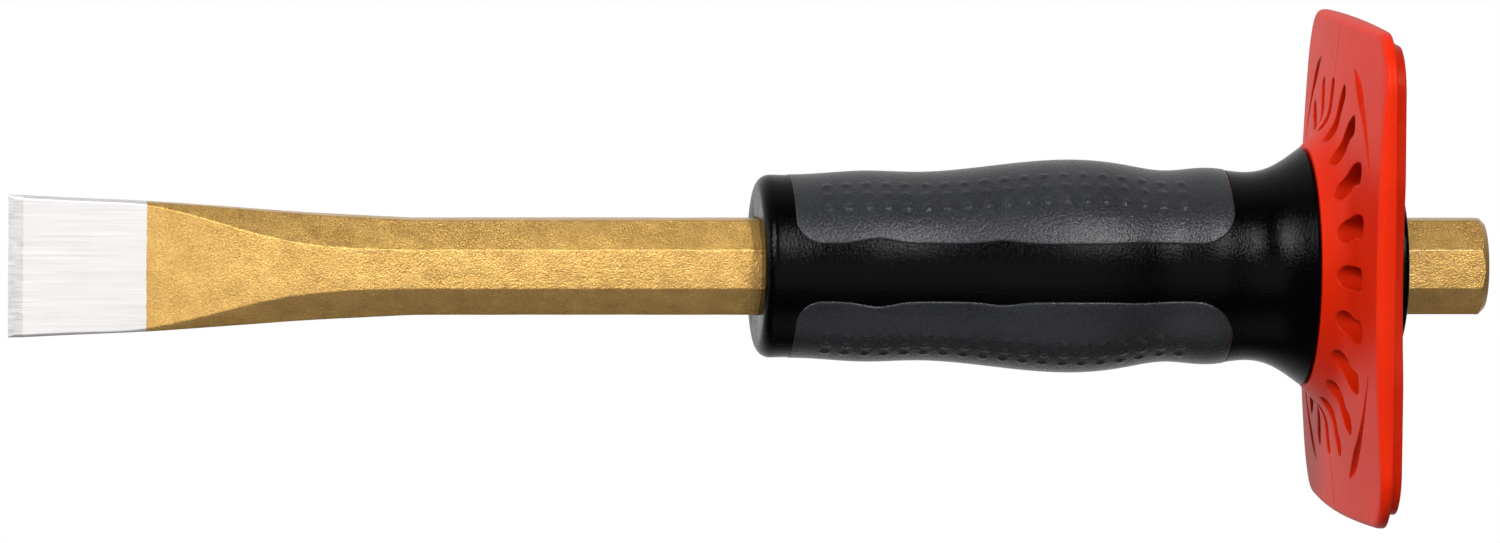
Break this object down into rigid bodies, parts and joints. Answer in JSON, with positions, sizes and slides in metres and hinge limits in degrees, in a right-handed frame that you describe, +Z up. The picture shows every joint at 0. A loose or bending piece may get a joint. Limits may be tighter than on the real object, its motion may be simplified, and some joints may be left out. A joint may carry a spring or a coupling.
{
  "type": "cold chisel with hand guard",
  "caption": "Flat cold chisel of octagonal bar with a flared ground blade, a padded slide-on grip and a dished rounded-square hand guard in front of the striking head.",
  "frame": {"origin": "on the bar's axis, halfway between the cutting edge and the striking face, which is the centre of the bounding box", "axes": "+X along the bar from the cutting edge towards the striking head, +Z up, the blade's broad faces look along -Y and +Y"},
  "size_m": [0.25, 0.084, 0.084],
  "materials": {
    "lacquered_steel": "gold metallic lacquer over forged tool steel; the first 23 mm of the blade is ground bare",
    "black_plastic": "black polypropylene with a fine spark-eroded grain",
    "grey_soft_pad": "dark grey thermoplastic rubber, fine grain, raised nubs",
    "red_guard_plastic": "satin red soft plastic"
  },
  "bodies": {
    "chisel": {"chisel_bar": "lacquered_steel"},
    "hand_guard": {"grip_sleeve": "black_plastic", "grip_pad_upper": "grey_soft_pad", "grip_pad_lower": "grey_soft_pad", "guard_shield": "red_guard_plastic", "rear_collar": "black_plastic"}
  },
  "joints": [
    {"name": "guard_slide", "type": "slide", "parent": "chisel", "child": "hand_guard", "axis": [1, 0, 0], "range_m": [-0.05, 0.1]}
  ]
}
